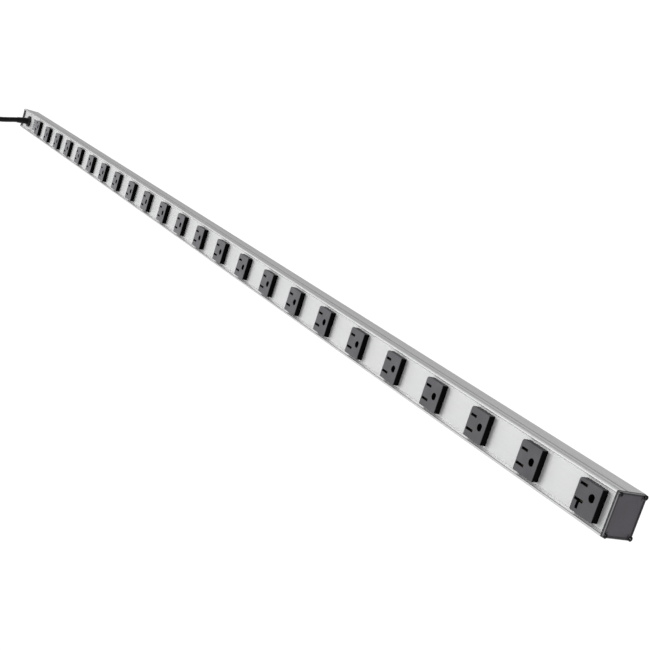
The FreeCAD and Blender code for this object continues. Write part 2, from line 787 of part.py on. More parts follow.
def stadium(sketch, radius):
    """A slot outline about the origin: two straight sides and two half circles."""
    half = size("hank_straight / 2")
    reach = size(radius)
    up = Vector(0, 0, 1)
    right = Part.Circle(Vector(half, 0, 0), up, reach)
    left = Part.Circle(Vector(-half, 0, 0), up, reach)
    first = sketch.addGeometry(Part.ArcOfCircle(right, -math.pi / 2, math.pi / 2))
    top = sketch.addGeometry(Part.LineSegment(Vector(half, reach, 0), Vector(-half, reach, 0)))
    last = sketch.addGeometry(Part.ArcOfCircle(left, math.pi / 2, 3 * math.pi / 2))
    low = sketch.addGeometry(Part.LineSegment(Vector(-half, -reach, 0), Vector(half, -reach, 0)))
    sketch.addConstraint(Sketcher.Constraint("Tangent", first, 2, top, 1))
    sketch.addConstraint(Sketcher.Constraint("Tangent", top, 2, last, 1))
    sketch.addConstraint(Sketcher.Constraint("Tangent", last, 2, low, 1))
    sketch.addConstraint(Sketcher.Constraint("Tangent", low, 2, first, 1))
    pin_point(sketch, first, 3, "DistanceX", "hank_straight / 2")
    pin_point(sketch, first, 3, "DistanceY", "0")
    pin_point(sketch, last, 3, "DistanceX", "-hank_straight / 2")
    pin_point(sketch, last, 3, "DistanceY", "0")
    datum = sketch.addConstraint(Sketcher.Constraint("Radius", first, reach))
    sketch.setExpression(f"Constraints[{datum}]", formula(radius))


def cord_hank():
    """The outer shape of the cord's put-away turns: a long ring with a gap in its middle."""
    body = new_body("cord_hank", "hank_x", "hank_y", "hank_bottom")
    sketch = new_sketch(body, "XY_Plane")
    stadium(sketch, "hank_outer_radius")
    stadium(sketch, "hank_outer_radius - hank_bundle")
    extrude(body, "Pad", sketch, "hank_height")
    return body


def cord_tie():
    """A flat band round the hank's side that is nearer to the strip."""
    y = "hank_y + hank_outer_radius - hank_bundle / 2"
    z = "hank_bottom + hank_height / 2"
    body = new_body("cord_tie", "hank_x", y, z)
    sketch = new_sketch(body, "YZ_Plane")
    rectangle(sketch, "0", "0", "hank_bundle", "hank_height")
    around = "2 * tie_thickness"
    rectangle(sketch, "0", "0", f"hank_bundle + {around}", f"hank_height + {around}")
    extrude(body, "Pad", sketch, "tie_width", symmetric=True)
    return body


PLUG_Y = "hank_y - hank_outer_radius + hank_bundle / 2"
PLUG_Z = "hank_bottom + hank_height + plug_height / 2"


def plug_body():
    """A moulded block with rounded long edges and a tapered tail towards +X."""
    body = new_body("plug_body", "plug_front_x", PLUG_Y, PLUG_Z)
    sketch = new_sketch(body, "YZ_Plane")
    rectangle(sketch, "0", "0", "plug_width", "plug_height")
    extrude(body, "Pad", sketch, "plug_length")
    round_edges(body, "Fillet", "plug_corner", lambda edge: runs_along(edge, Vector(1, 0, 0)))
    tail = new_sketch(body, "XZ_Plane")
    end = "plug_length + plug_tail_length"
    start = "plug_length - plug_tail_overlap"
    corners = [(start, "0"), (end, "0"), (end, "plug_tail_tip")]
    corners += [("plug_length", "plug_tail_root"), (start, "plug_tail_root")]
    polygon(tail, corners)
    turned = body.newObject("PartDesign::Revolution", "Tail")
    turned.Profile = tail
    turned.ReferenceAxis = (tail, ["H_Axis"])
    turned.Angle = 360
    doc.recompute()
    return body


def plug_blades():
    """The line blade stands on edge and the neutral blade lies flat, as on a 20 A plug."""
    body = new_body("plug_blades", "plug_front_x", PLUG_Y, PLUG_Z)
    sketch = new_sketch(body, "YZ_Plane")
    apart = "blade_spacing / 2"
    drop = "-1 * plug_blade_drop"
    rectangle(sketch, apart, drop, "blade_thickness", "blade_width")
    rectangle(sketch, f"-{apart}", drop, "blade_width", "blade_thickness")
    extrude(body, "Pad", sketch, "blade_length", backwards=True)
    return body


def plug_ground_pin():
    body = new_body("plug_ground_pin", "plug_front_x", PLUG_Y, PLUG_Z)
    sketch = new_sketch(body, "YZ_Plane")
    circle(sketch, "0", "plug_pin_rise", "pin_radius")
    extrude(body, "Pad", sketch, "pin_length", backwards=True)
    tip = -size("pin_length")
    at_tip = lambda edge: abs(edge.BoundBox.XMin - tip) + abs(edge.BoundBox.XMax - tip) < 0.01
    round_edges(body, "Fillet", "pin_tip_radius", at_tip)
    return body


def ground_bond_strap():
    """A Z-shaped strap from the ground bar to the back wall."""
    start = f"bar_start_inset - {HALF}"
    body = new_body("ground_bond_strap", x=start)
    sketch = new_sketch(body, "XY_Plane", "-bond_width / 2")
    front = "bar_depth + bar_thickness"
    back = "housing_depth - wall"
    corners = [
        ("0", front),
        ("bond_length", front),
        ("bond_length", f"{back} - bond_thickness"),
        ("2 * bond_length", f"{back} - bond_thickness"),
        ("2 * bond_length", back),
        ("bond_length - bond_thickness", back),
        ("bond_length - bond_thickness", f"{front} + bond_thickness"),
        ("0", f"{front} + bond_thickness"),
    ]
    polygon(sketch, corners)
    extrude(body, "Pad", sketch, "bond_width")
    hole = new_sketch(body, "XZ_Plane", f"-({back})")
    circle(hole, "1.5 * bond_length", "0", "bond_hole_radius")
    extrude(body, "Pocket", hole, "bond_thickness", backwards=True)
    return body


def ground_bond_screw():
    x = f"bar_start_inset - {HALF} + 1.5 * bond_length"
    body = new_body("ground_bond_screw", x=x, y=f"{RIM_Y} + housing_depth - wall - bond_thickness")
    profile = new_sketch(body, "XY_Plane")
    corners = [
        ("0", "-1 * bond_head_height"),
        ("bond_head_radius", "-1 * bond_head_height"),
        ("bond_head_radius", "0"),
        ("bond_screw_radius", "0"),
        ("bond_screw_radius", "bond_thickness + wall - bond_screw_gap"),
        ("0", "bond_thickness + wall - bond_screw_gap"),
    ]
    polygon(profile, corners)
    turned = body.newObject("PartDesign::Revolution", "Turned")
    turned.Profile = profile
    turned.ReferenceAxis = (profile, ["V_Axis"])
    turned.Angle = 360
    doc.recompute()
    return body


def insulating_liner():
    start = f"liner_start_inset - {HALF}"
    sizes = {
        "Length": f"{HALF} - bar_end_inset - ({start})",
        "Width": "liner_thickness",
        "Height": "housing_width - 2 * (boss_size + liner_gap)",
    }
    y = f"{RIM_Y} + housing_depth - wall - liner_thickness"
    return add_part("Part::Box", "insulating_liner", sizes, start, y, "boss_size + liner_gap")


def rating_label():
    sizes = {"Length": "label_length", "Width": "label_thickness", "Height": "label_height"}
    x = f"label_start_inset - {HALF}"
    y = f"{RIM_Y} + panel_recess - label_thickness"
    return add_part("Part::Box", "rating_label", sizes, x, y, f"{MIDDLE} - label_height / 2")


def cord_inner_end():
    """The jacketed end of the cord inside the bushing."""
    radius = "cord_diameter / 2"
    depth = "lead_start_depth - panel_recess + flange_thickness"
    sizes = {"Radius": radius, "Height": depth}
    thing = add_part("Part::Cylinder", "cord_inner_end", sizes)
    thing.Placement.Rotation = FreeCAD.Rotation(Vector(1, 0, 0), -90)
    place(thing, CORD_X, f"{RIM_Y} + panel_recess - flange_thickness", MIDDLE)
    return thing


parts = [housing_channel(), front_panel()]
for label, side in (("end_cap_near", 1), ("end_cap_far", -1)):
    parts.append(end_cap(label, side))
for label, side in (("end_cap_screws_near", 1), ("end_cap_screws_far", -1)):
    parts.append(pan_head_screws(label, side))
last = int(size("outlet_count"))
for number in range(1, last + 1):
    parts.append(outlet(number, number in (1, last)))
parts.append(repeated("outlet_rear_covers", rear_cover))
parts.append(repeated("line_contacts", line_contact))
parts.append(repeated("neutral_contacts", neutral_contact))
parts.append(repeated("ground_contacts", ground_contact))
parts.append(bus_bar("line_bus_bar", "bar_spacing"))
parts.append(bus_bar("neutral_bus_bar", "-bar_spacing"))
parts.append(bus_bar("ground_bus_bar", "0"))
parts.append(insulating_liner())
parts.append(ground_bond_strap())
parts.append(ground_bond_screw())
parts.append(rating_label())
parts.append(strain_relief_bushing())
parts.append(strain_relief_nut())
parts.append(cord_boot())
parts.append(cord_inner_end())
lead_step = size("lead_spacing")
bar_step = size("bar_spacing")
parts.append(inner_lead("line_lead", lead_step, bar_step))
parts.append(inner_lead("neutral_lead", -lead_step, -bar_step))
parts.append(inner_lead("ground_lead", 0.0, 0.0))
parts.append(tube("power_cord", CORD_ROUTE, size("cord_diameter") / 2))
parts.append(cord_hank())
parts.append(cord_tie())
parts.append(plug_body())
parts.append(plug_blades())
parts.append(plug_ground_pin())

doc.recompute()
for thing in doc.Objects:
    if "Invalid" in thing.State or "Error" in thing.State:
        raise ValueError(f"{thing.Name} of {thing.Label} failed: {thing.State}")
for part in parts:
    if part.Shape.isNull() or not part.Shape.isValid() or not part.Shape.Solids:
        raise ValueError(f"{part.Label} has no valid shape")
for part in parts:
    part.Shape.exportStep(f"parts/{part.Label}.step")
print(len(parts), "parts written")
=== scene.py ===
"""Looks of the rack power strip, its cord and its plug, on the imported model's frame.

Every piece is built in metres in the row frame: +X along the strip, away from the cord's end, the
receptacles facing -Y, +Z up, and the floor at 0.
"""
import math

import bmesh
import bpy
from mathutils import Matrix, Vector


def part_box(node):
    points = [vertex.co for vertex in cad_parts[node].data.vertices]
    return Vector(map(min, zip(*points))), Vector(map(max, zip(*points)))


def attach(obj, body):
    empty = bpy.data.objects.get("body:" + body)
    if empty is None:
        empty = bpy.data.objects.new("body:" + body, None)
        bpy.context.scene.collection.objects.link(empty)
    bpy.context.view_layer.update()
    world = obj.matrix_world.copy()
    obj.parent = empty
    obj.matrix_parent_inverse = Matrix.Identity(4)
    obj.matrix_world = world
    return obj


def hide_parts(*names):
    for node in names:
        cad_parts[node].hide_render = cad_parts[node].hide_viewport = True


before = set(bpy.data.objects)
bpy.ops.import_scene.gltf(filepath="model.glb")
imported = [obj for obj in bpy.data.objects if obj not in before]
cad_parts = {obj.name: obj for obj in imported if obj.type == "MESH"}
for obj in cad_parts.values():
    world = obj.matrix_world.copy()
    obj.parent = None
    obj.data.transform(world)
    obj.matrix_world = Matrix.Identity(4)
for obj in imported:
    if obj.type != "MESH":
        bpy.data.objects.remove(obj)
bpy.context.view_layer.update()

MM = 0.001


def middle_and_size(node):
    """The middle and the size of a CAD node's box."""
    low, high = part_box(node)
    return (low + high) / 2, high - low


# --------------------------------------------------------------------------- camera

CAMERA_PLACE = Vector((1.49745, -0.63975, 0.23324))
CAMERA_AIM = Vector((0.45567, -0.01200, 0.01510))
CAMERA_ROLL = math.radians(17.907)
CAMERA_LENS = 65.765


def make_camera():
    data = bpy.data.cameras.new("camera")
    data.lens = CAMERA_LENS
    data.sensor_width = 36
    data.clip_start = 0.05
    data.clip_end = 60
    camera = bpy.data.objects.new("camera", data)
    bpy.context.scene.collection.objects.link(camera)
    level = (CAMERA_AIM - CAMERA_PLACE).to_track_quat("-Z", "Y").to_matrix().to_4x4()
    turned = level @ Matrix.Rotation(CAMERA_ROLL, 4, "Z")
    camera.matrix_world = Matrix.Translation(CAMERA_PLACE) @ turned
    bpy.context.scene.camera = camera


make_camera()


# --------------------------------------------------------------------------- node helpers


def new_material(name, colour, roughness, metallic=0.0, specular=0.5):
    """A material with its constants on the shader's own sockets. Returns it and its shader."""
    material = bpy.data.materials.new(name)
    material.use_nodes = True
    shader = material.node_tree.nodes["Principled BSDF"]
    shader.inputs["Base Color"].default_value = (*colour, 1)
    shader.inputs["Roughness"].default_value = roughness
    shader.inputs["Metallic"].default_value = metallic
    shader.inputs["Specular IOR Level"].default_value = specular
    return material, shader


def add_node(material, kind, **inputs):
    """A node with its inputs set: a socket is linked, and anything else becomes its value."""
    tree = material.node_tree
    node = tree.nodes.new(kind)
    for key, value in inputs.items():
        socket = node.inputs[int(key[1:]) if key[1:].isdigit() else key.replace("_", " ")]
        if isinstance(value, bpy.types.NodeSocket):
            tree.links.new(value, socket)
        else:
            socket.default_value = value
    return node


def place_in_frame(material, scale=(1, 1, 1)):
    """Row-frame coordinates in metres, stretched by scale."""
    coordinates = material.node_tree.nodes.new("ShaderNodeTexCoord")
    return add_node(
        material, "ShaderNodeMapping", Vector=coordinates.outputs["Object"], Scale=scale
    ).outputs[0]


def noise(material, vector, scale, detail=3.0, roughness=0.5):
    node = add_node(
        material,
        "ShaderNodeTexNoise",
        Vector=vector,
        Scale=scale,
        Detail=detail,
        Roughness=roughness,
    )
    return node.outputs[0]


def ranged(material, value, low, high, from_low=0.3, from_high=0.7):
    """A value mapped from one range to another, and kept in it."""
    node = add_node(material, "ShaderNodeMapRange", Value=value)
    node.inputs["From Min"].default_value = from_low
    node.inputs["From Max"].default_value = from_high
    node.inputs["To Min"].default_value = low
    node.inputs["To Max"].default_value = high
    return node.outputs[0]


def calculate(material, operation, first, second=0.5):
    node = add_node(material, "ShaderNodeMath", _0=first, _1=second)
    node.operation = operation
    return node.outputs[0]


def blended(material, factor, first, second):
    """A colour between two colours, each a triple or a socket."""
    node = material.node_tree.nodes.new("ShaderNodeMix")
    node.data_type = "RGBA"
    tree = material.node_tree
    tree.links.new(factor, node.inputs[0])
    for socket, value in ((node.inputs[6], first), (node.inputs[7], second)):
        if isinstance(value, bpy.types.NodeSocket):
            tree.links.new(value, socket)
        else:
            socket.default_value = (*value, 1)
    return node.outputs[2]


def bump(material, height, distance, strength):
    """A normal that a height from 0 to 1 tilts, for relief of a distance in metres."""
    return add_node(
        material, "ShaderNodeBump", Height=height, Distance=distance, Strength=strength
    ).outputs[0]


def connect(material, shader, **sockets):
    for name, socket in sockets.items():
        material.node_tree.links.new(socket, shader.inputs[name.replace("_", " ")])


def swinging(material, middle, *swings):
    """A roughness about a middle value: each swing is a noise and how far it moves the value."""
    total = middle
    for value, swing in swings:
        total = calculate(material, "ADD", ranged(material, value, -swing, swing), total)
    return total


def shades(colour, amount):
    """A darker and a lighter shade of a colour."""
    dark = tuple(c * (1 - amount) for c in colour)
    light = tuple(min(1.0, c * (1 + amount)) for c in colour)
    return dark, light


# --------------------------------------------------------------------------- materials


def drawn_metal(name, colour, roughness, metallic, streak=0.06, bump_height=0.00002):
    """Anodised extrusion: fine lines along X, faint broad bands and a soft cloudiness."""
    material, shader = new_material(name, colour, roughness, metallic)
    fine = noise(material, place_in_frame(material, (6, 2600, 2600)), 1.0, 4, 0.65)
    broad = noise(material, place_in_frame(material, (1.5, 420, 420)), 1.0, 2, 0.5)
    cloud = noise(material, place_in_frame(material), 45.0, 3, 0.5)
    lines = calculate(material, "MULTIPLY", fine, 0.7)
    mixed = calculate(material, "ADD", lines, calculate(material, "MULTIPLY", broad, 0.3))
    dark, light = shades(colour, streak)
    tint = blended(material, ranged(material, mixed, 0, 1, 0.35, 0.65), dark, light)
    rough = swinging(material, roughness, (fine, 0.05), (cloud, 0.03))
    normal = bump(material, mixed, bump_height, 0.6)
    connect(material, shader, Base_Color=tint, Roughness=rough, Normal=normal)
    return material


def moulded_plastic(name, colour, roughness, grain=0.00025, depth=0.00002, specular=0.5):
    """Spark-eroded mould texture: fine pits, with a slow change in shade and gloss."""
    material, shader = new_material(name, colour, roughness, specular=specular)
    spots = noise(material, place_in_frame(material), 1 / grain, 2, 0.6)
    slow = noise(material, place_in_frame(material), 60.0, 3, 0.5)
    dark, light = shades(colour, 0.14)
    tint = blended(material, ranged(material, slow, 0, 1), dark, light)
    rough = swinging(material, roughness, (spots, 0.06), (slow, 0.04))
    normal = bump(material, spots, depth, 0.7)
    connect(material, shader, Base_Color=tint, Roughness=rough, Normal=normal)
    return material


def line_at(material, value, centre, half_width):
    """1 on a thin line where a value is near a number, and 0 away from it."""
    away = calculate(material, "ABSOLUTE", calculate(material, "SUBTRACT", value, centre))
    return ranged(material, away, 1, 0, 0.6 * half_width, 1.4 * half_width)


def end_cap_plastic():
    """Textured plastic, with a painted highlight at its outer edges.

    The near cap has painted shade: a fine dark line in its border groove, dark sides and a dark
    line in the gap at the housing.
    """
    low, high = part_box("end_cap_near")
    material = moulded_plastic("cap_plastic", (0.058, 0.052, 0.062), 0.6, 0.0005, 0.00004)
    shader = material.node_tree.nodes["Principled BSDF"]
    split = add_node(material, "ShaderNodeSeparateXYZ", Vector=place_in_frame(material))
    inside = None
    for axis, start, end in (("Y", low.y, high.y), ("Z", low.z, high.z)):
        away = calculate(material, "SUBTRACT", split.outputs[axis], (start + end) / 2)
        away = calculate(material, "ABSOLUTE", away)
        room = calculate(material, "SUBTRACT", (end - start) / 2, away)
        inside = room if inside is None else calculate(material, "MINIMUM", inside, room)
    facing = material.node_tree.nodes.new("ShaderNodeNewGeometry")
    normal_parts = add_node(
        material, "ShaderNodeSeparateXYZ", Vector=facing.outputs["True Normal"]
    )
    outward = calculate(material, "ABSOLUTE", normal_parts.outputs["X"])
    outward = ranged(material, outward, 0, 1, 0.5, 0.8)
    # Painted highlight: the end faces are painted light within about half a millimetre of the
    # outline.
    painted_light_blend = ranged(material, inside, 1, 0, 0.2 * MM, 0.6 * MM)
    # Painted shade: a dark line along the border groove, 1.3 mm in from the outline.
    groove = calculate(material, "MULTIPLY", line_at(material, inside, 1.3 * MM, 0.5 * MM), outward)
    # Painted shade: a dark line in the gap where the cap meets the housing.
    from_centre = calculate(material, "ABSOLUTE", split.outputs["X"], 0)
    gap_shade = line_at(material, from_centre, high.x - 2.3 * MM, 0.3 * MM)
    tint = shader.inputs["Base Color"].links[0].from_socket
    # The painted highlight is a light grey, on the end faces only.
    painted_light_blend = calculate(material, "MULTIPLY", painted_light_blend, outward)
    tint = blended(material, painted_light_blend, tint, (0.50, 0.49, 0.51))
    # Painted shade: the sides, which do not face along the strip, are painted almost black.
    sides = ranged(material, outward, 0.85, 0, 0, 1)
    # All the painted shade together, as one mask.
    dark = calculate(material, "MAXIMUM", groove, gap_shade)
    dark = calculate(material, "MAXIMUM", dark, sides)
    # The painted shade goes on the near cap only.
    near = ranged(material, split.outputs["X"], 0, 1, -0.1, 0.1)
    dark = calculate(material, "MULTIPLY", dark, near)
    connect(material, shader, Base_Color=blended(material, dark, tint, (0.004, 0.004, 0.005)))
    return material


def outlet_plastic():
    """A receptacle: its face has a grey matt texture, and its smooth sides are black.

    The faces are painted a little paler toward the cord's end, a painted sheen, and the tops of the
    sides are painted in the faces' grey, as painted light from overhead.
    """
    low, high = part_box("outlet_12")
    face_y = low.y
    face_top = (low.z + high.z) / 2 + 13.3 * MM
    material, shader = new_material("outlet_plastic", (0.001, 0.001, 0.0012), 0.5, specular=0.02)
    shader.inputs["Sheen Weight"].default_value = 0.03
    shader.inputs["Sheen Roughness"].default_value = 0.5
    spots = noise(material, place_in_frame(material), 2600.0, 2, 0.6)
    slow = noise(material, place_in_frame(material), 70.0, 3, 0.5)
    place = place_in_frame(material)
    split = add_node(material, "ShaderNodeSeparateXYZ", Vector=place)
    in_front = ranged(
        material, split.outputs["Y"], 1.0, 0.0, face_y + 0.05 * MM, face_y + 0.45 * MM
    )
    facing = material.node_tree.nodes.new("ShaderNodeNewGeometry")
    normal_parts = add_node(
        material, "ShaderNodeSeparateXYZ", Vector=facing.outputs["True Normal"]
    )
    # Painted light: the tops of the sides, which face up, are painted in the faces' grey.
    painted_lit_top = ranged(material, normal_parts.outputs["Z"], 0.0, 0.8, 0.55, 0.9)
    outside = ranged(material, split.outputs["Z"], 0, 1, face_top - 1.5 * MM, face_top - 1.2 * MM)
    painted_lit_top = calculate(material, "MULTIPLY", painted_lit_top, outside)
    face_and_painted_top = calculate(material, "MAXIMUM", in_front, painted_lit_top)
    # Painted sheen: the faces' grey is painted paler from the near end toward the cord's end.
    painted_sheen = ranged(material, split.outputs["X"], 1, 0, -0.3, 0.85)
    plain = blended(material, painted_sheen, (0.088, 0.086, 0.092), (0.165, 0.161, 0.172))
    pale = blended(material, painted_sheen, (0.108, 0.105, 0.112), (0.200, 0.196, 0.208))
    # Random mottle between the two shades, each with the painted sheen in it.
    painted_light_blend = blended(material, ranged(material, slow, 0, 1), plain, pale)
    tint = blended(material, face_and_painted_top, (0.001, 0.001, 0.0012), painted_light_blend)
    rough = swinging(material, ranged(material, face_and_painted_top, 0.34, 0.62, 0, 1), (spots, 0.05))
    normal = bump(material, spots, 0.00003, 0.8)
    connect(material, shader, Base_Color=tint, Roughness=rough, Normal=normal)
    return material


def add_painted_shade_and_light(material):
    """Painted shade: fine dark lines in the housing's creases, at the grooves' edges and round both
    lips.

    Painted light on the lips' inner sides, which are painted almost white, and painted shade on the
    lower lip's front, which is a little darker.
    """
    low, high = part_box("housing_channel")
    split = add_node(material, "ShaderNodeSeparateXYZ", Vector=place_in_frame(material))
    depth = calculate(material, "SUBTRACT", split.outputs["Y"], low.y)
    from_middle = calculate(material, "SUBTRACT", split.outputs["Z"], (low.z + high.z) / 2)
    from_middle = calculate(material, "ABSOLUTE", from_middle)
    half = (high.z - low.z) / 2
    # Painted shade: a dark line at each crease, by depth from the front or by distance from the
    # middle height.
    lines = None
    places = ((depth, 4.4 * MM, 0.35), (depth, 9.7 * MM, 0.3), (depth, 11.4 * MM, 0.3))
    places += ((depth, 3.2 * MM, 0.15), (from_middle, half - 2.1 * MM, 0.2))
    for value, centre, half_width in places:
        line = line_at(material, value, centre, half_width * MM)
        lines = line if lines is None else calculate(material, "MAXIMUM", lines, line)
    shader = material.node_tree.nodes["Principled BSDF"]
    tint = shader.inputs["Base Color"].links[0].from_socket
    # Painted light: the lips' inner sides next to the panel are painted almost white.
    beside_panel = ranged(material, depth, 0, 1, 0.5 * MM, 0.8 * MM)
    in_mouth = ranged(material, depth, 1, 0, 4.0 * MM, 4.3 * MM)
    inside = ranged(material, from_middle, 1, 0, half - 1.6 * MM, half - 1.2 * MM)
    painted_lit_lips = calculate(material, "MULTIPLY", beside_panel, in_mouth)
    painted_lit_lips = calculate(material, "MULTIPLY", painted_lit_lips, inside)
    tint = blended(material, painted_lit_lips, tint, (0.97, 0.97, 0.97))
    # Painted shade: the lower lip's front is painted darker.
    front = ranged(material, depth, 0.4, 0, 0.1 * MM, 0.5 * MM)
    lower = ranged(material, split.outputs["Z"], 1, 0, low.z + 4 * MM, low.z + 8 * MM)
    front = calculate(material, "MULTIPLY", front, lower)
    tint = blended(material, front, tint, (0.30, 0.30, 0.305))
    # The painted crease shade is strongest on the upper half and weaker along the lower lip.
    factor = calculate(material, "MULTIPLY", lines, ranged(material, lower, 0.9, 0.55, 0, 1))
    material.node_tree.links.new(
        blended(material, factor, tint, (0.06, 0.06, 0.065)), shader.inputs["Base Color"]
    )


def plain_metal(name, colour, roughness, spread=0.05):
    """Stamped or plated metal, with faint blotches and fine scratches."""
    material, shader = new_material(name, colour, roughness, metallic=1.0)
    blotches = noise(material, place_in_frame(material), 180.0, 4, 0.6)
    scratches = noise(material, place_in_frame(material, (900, 6000, 6000)), 1.0, 2, 0.5)
    dark, light = shades(colour, 0.12)
    tint = blended(material, ranged(material, blotches, 0, 1), dark, light)
    rough = ranged(material, scratches, roughness - spread, roughness + spread)
    normal = bump(material, scratches, 0.000008, 0.5)
    connect(material, shader, Base_Color=tint, Roughness=rough, Normal=normal)
    return material


def black_steel():
    """Black-oxide screws: dark, slightly oily metal."""
    material, shader = new_material("black_steel", (0.01, 0.01, 0.011), 0.22, specular=0.05)
    shader.inputs["Coat Weight"].default_value = 0.5
    shader.inputs["Coat Roughness"].default_value = 0.12
    blotches = noise(material, place_in_frame(material), 900.0, 4, 0.6)
    tint = blended(
        material, ranged(material, blotches, 0, 1), (0.001, 0.001, 0.0012), (0.003, 0.003, 0.0033)
    )
    rough = ranged(material, blotches, 0.16, 0.3)
    normal = bump(material, blotches, 0.00002, 0.5)
    connect(material, shader, Base_Color=tint, Roughness=rough, Normal=normal)
    return material


def cord_rubber(name, colour, roughness):
    """A flexible jacket: satin black, with a fine grain and some dust in it."""
    material, shader = new_material(name, colour, roughness, specular=0.15)
    grain = noise(material, place_in_frame(material), 2200.0, 3, 0.6)
    dust = noise(material, place_in_frame(material), 140.0, 4, 0.6)
    dark, light = shades(colour, 0.25)
    tint = blended(material, ranged(material, dust, 0, 1), dark, light)
    rough = swinging(material, roughness, (grain, 0.05), (dust, 0.06))
    normal = bump(material, grain, 0.000025, 0.6)
    connect(material, shader, Base_Color=tint, Roughness=rough, Normal=normal)
    return material


def woven_tape():
    """Hook-and-loop tape: crossed threads under a short, rough nap."""
    material, shader = new_material("tie_fabric", (0.02, 0.02, 0.021), 0.9, specular=0.2)
    shader.inputs["Sheen Weight"].default_value = 0.25
    threads = []
    for direction in ("X", "Z"):
        place = place_in_frame(material)
        wave = add_node(
            material, "ShaderNodeTexWave", Vector=place, Scale=280.0, Distortion=1.5
        )
        wave.bands_direction = direction
        threads.append(wave.outputs[1])
    weave = calculate(material, "MULTIPLY", *threads)
    nap = noise(material, place_in_frame(material), 5000.0, 3, 0.7)
    tint = blended(material, weave, (0.010, 0.010, 0.011), (0.045, 0.045, 0.048))
    height = calculate(material, "ADD", weave, calculate(material, "MULTIPLY", nap, 0.6))
    rough = ranged(material, nap, 0.8, 0.95)
    normal = bump(material, height, 0.00015, 0.8)
    connect(material, shader, Base_Color=tint, Roughness=rough, Normal=normal)
    return material


def ruled_label():
    """A blank label: a light frame and plain ruled rows on a dark grey film."""
    middle, span = middle_and_size("rating_label")
    material, shader = new_material("label_film", (0.16, 0.16, 0.17), 0.5)
    place = place_in_frame(material)
    split = add_node(material, "ShaderNodeSeparateXYZ", Vector=place)
    edges = []
    for axis, centre, length in (("X", middle.x, span.x), ("Z", middle.z, span.z)):
        away = calculate(material, "SUBTRACT", split.outputs[axis], centre)
        away = calculate(material, "ABSOLUTE", away)
        edges.append(ranged(material, away, 0, 1, length / 2 - 1.6 * MM, length / 2 - 1.3 * MM))
    border = calculate(material, "MAXIMUM", *edges)
    rows = calculate(material, "MULTIPLY", split.outputs["Z"], 1 / (4.2 * MM))
    rows = calculate(material, "FRACT", rows, 0)
    rule = ranged(material, rows, 0, 1, 0.86, 0.9)
    film = noise(material, place, 400.0, 3, 0.5)
    ground = blended(material, ranged(material, film, 0, 1), (0.13, 0.13, 0.14), (0.19, 0.19, 0.2))
    ruled = blended(material, rule, ground, (0.5, 0.5, 0.51))
    tint = blended(material, border, ruled, (0.58, 0.58, 0.59))
    rough = ranged(material, film, 0.42, 0.56)
    connect(material, shader, Base_Color=tint, Roughness=rough)
    return material


HOUSING = drawn_metal("housing_aluminium", (0.60, 0.60, 0.605), 0.4, 0.5, 0.09, 0.00001)
add_painted_shade_and_light(HOUSING)
PANEL = drawn_metal("panel_aluminium", (0.545, 0.547, 0.55), 0.5, 0.4, 0.025, 0.000004)
CAP = end_cap_plastic()
OUTLET = outlet_plastic()
COVER = moulded_plastic("cover_plastic", (0.05, 0.05, 0.055), 0.5)
SCREW = black_steel()
# Painted shade: the brass is painted very dark, for the shade deep inside the receptacles' slots.
BRASS = plain_metal("contact_brass", (0.06, 0.044, 0.022), 0.6)
NICKEL = plain_metal("plug_nickel", (0.80, 0.77, 0.70), 0.22)
ZINC = plain_metal("bond_steel", (0.66, 0.66, 0.68), 0.35)
LINER = moulded_plastic("liner_sheet", (0.50, 0.44, 0.33), 0.7, grain=0.0008)
NYLON = moulded_plastic("bushing_nylon", (0.003, 0.003, 0.0035), 0.4, grain=0.0004, specular=0.3)
JACKET = cord_rubber("cord_jacket", (0.0035, 0.0035, 0.004), 0.42)
PLUG = cord_rubber("plug_rubber", (0.018, 0.018, 0.019), 0.5)
LINE_LEAD = cord_rubber("line_insulation", (0.02, 0.02, 0.02), 0.4)
NEUTRAL_LEAD = cord_rubber("neutral_insulation", (0.72, 0.72, 0.70), 0.4)
GROUND_LEAD = cord_rubber("ground_insulation", (0.03, 0.27, 0.08), 0.4)
TAPE = woven_tape()
LABEL = ruled_label()

NODE_MATERIALS = {
    "housing_channel": HOUSING,
    "front_panel": PANEL,
    "end_cap_near": CAP,
    "end_cap_far": CAP,
    "end_cap_screws_near": SCREW,
    "end_cap_screws_far": SCREW,
    "outlet_rear_covers": COVER,
    "line_contacts": BRASS,
    "neutral_contacts": BRASS,
    "ground_contacts": BRASS,
    "line_bus_bar": BRASS,
    "neutral_bus_bar": BRASS,
    "ground_bus_bar": BRASS,
    "insulating_liner": LINER,
    "ground_bond_strap": ZINC,
    "ground_bond_screw": ZINC,
    "rating_label": LABEL,
    "strain_relief_bushing": NYLON,
    "strain_relief_nut": NYLON,
    "cord_inner_end": JACKET,
    "line_lead": LINE_LEAD,
    "neutral_lead": NEUTRAL_LEAD,
    "ground_lead": GROUND_LEAD,
    "plug_body": PLUG,
    "plug_blades": NICKEL,
    "plug_ground_pin": NICKEL,
    "power_cord": JACKET,
    "cord_hank": JACKET,
    "cord_boot": JACKET,
    "cord_tie": TAPE,
}


def soften_edges(node, width):
    """Small rounded edges, which catch the light."""
    bevel = node.modifiers.new("soft_edges", "BEVEL")
    bevel.width = width
    bevel.segments = 2
    bevel.limit_method = "ANGLE"
    bevel.angle_limit = math.radians(40)
    bevel.harden_normals = True


def finish_cad_nodes():
    for name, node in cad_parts.items():
        material = OUTLET if name.startswith("outlet_") else None
        material = NODE_MATERIALS.get(name, material)
        node.data.materials.clear()
        node.data.materials.append(material)
    for name in ("end_cap_near", "end_cap_far"):
        soften_edges(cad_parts[name], 0.3 * MM)


finish_cad_nodes()


# --------------------------------------------------------------------------- mesh helpers


